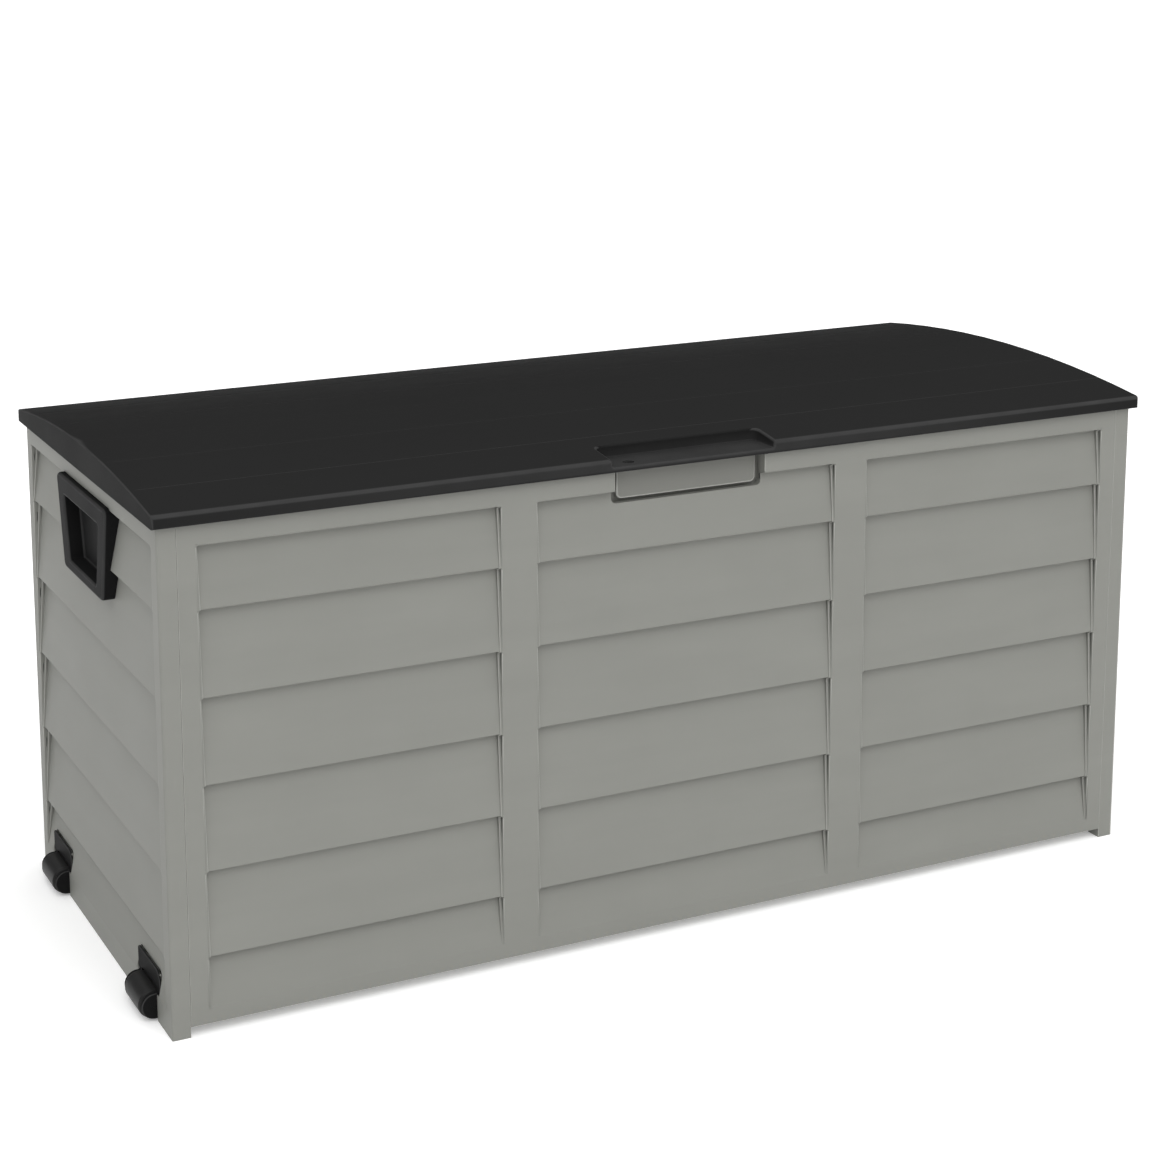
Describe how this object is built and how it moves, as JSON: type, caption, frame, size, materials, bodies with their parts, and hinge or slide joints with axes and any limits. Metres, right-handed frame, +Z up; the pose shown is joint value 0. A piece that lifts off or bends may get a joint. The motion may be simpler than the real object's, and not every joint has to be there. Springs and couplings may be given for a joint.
{
  "type": "deck storage box",
  "caption": "Rectangular outdoor storage box with clapboard-style panels, a domed hinged lid with a grip tray, recessed end handles and rollers at one end.",
  "frame": {"origin": "on the ground, under the middle of the box", "axes": "+Z up; -Y towards the front with the lock recess; +X towards the end without rollers"},
  "size_m": [1.1303, 0.4955, 0.53],
  "materials": {
    "panel_plastic": "fine-grained moulded polypropylene, warm grey",
    "lid_plastic": "fine-grained moulded polypropylene, near black",
    "black_plastic": "smooth moulded polypropylene, black",
    "roller_plastic": "turned-looking moulded plastic, black, scuffed",
    "zinc_steel": "zinc-plated steel"
  },
  "bodies": {
    "box": {"front_panel": "panel_plastic", "back_panel": "panel_plastic", "left_end_panel": "panel_plastic", "right_end_panel": "panel_plastic", "base_panel": "panel_plastic", "lock_bracket": "panel_plastic", "lock_bracket_screws": "zinc_steel", "left_handle": "black_plastic", "left_handle_screws": "zinc_steel", "right_handle": "black_plastic", "right_handle_screws": "zinc_steel", "front_roller_bracket": "black_plastic", "rear_roller_bracket": "black_plastic", "front_roller_axle": "zinc_steel", "rear_roller_axle": "zinc_steel", "roller_bracket_screws": "zinc_steel", "left_hinge_bracket": "black_plastic", "middle_hinge_bracket": "black_plastic", "right_hinge_bracket": "black_plastic", "left_hinge_pin": "zinc_steel", "middle_hinge_pin": "zinc_steel", "right_hinge_pin": "zinc_steel", "hinge_screws": "zinc_steel"},
    "lid": {"lid": "lid_plastic"},
    "front_roller": {"front_roller": "roller_plastic"},
    "rear_roller": {"rear_roller": "roller_plastic"}
  },
  "joints": [
    {"name": "lid_hinge", "type": "hinge", "parent": "box", "child": "lid", "pos_m": [0, 0.2455, 0.493], "axis": [-1, 0, 0], "range_deg": [0, 100]},
    {"name": "front_roller_spin", "type": "hinge", "parent": "box", "child": "front_roller", "pos_m": [-0.5555, -0.16, 0.0152], "axis": [0, 1, 0], "continuous": true},
    {"name": "rear_roller_spin", "type": "hinge", "parent": "box", "child": "rear_roller", "pos_m": [-0.5555, 0.16, 0.0152], "axis": [0, 1, 0], "continuous": true}
  ]
}
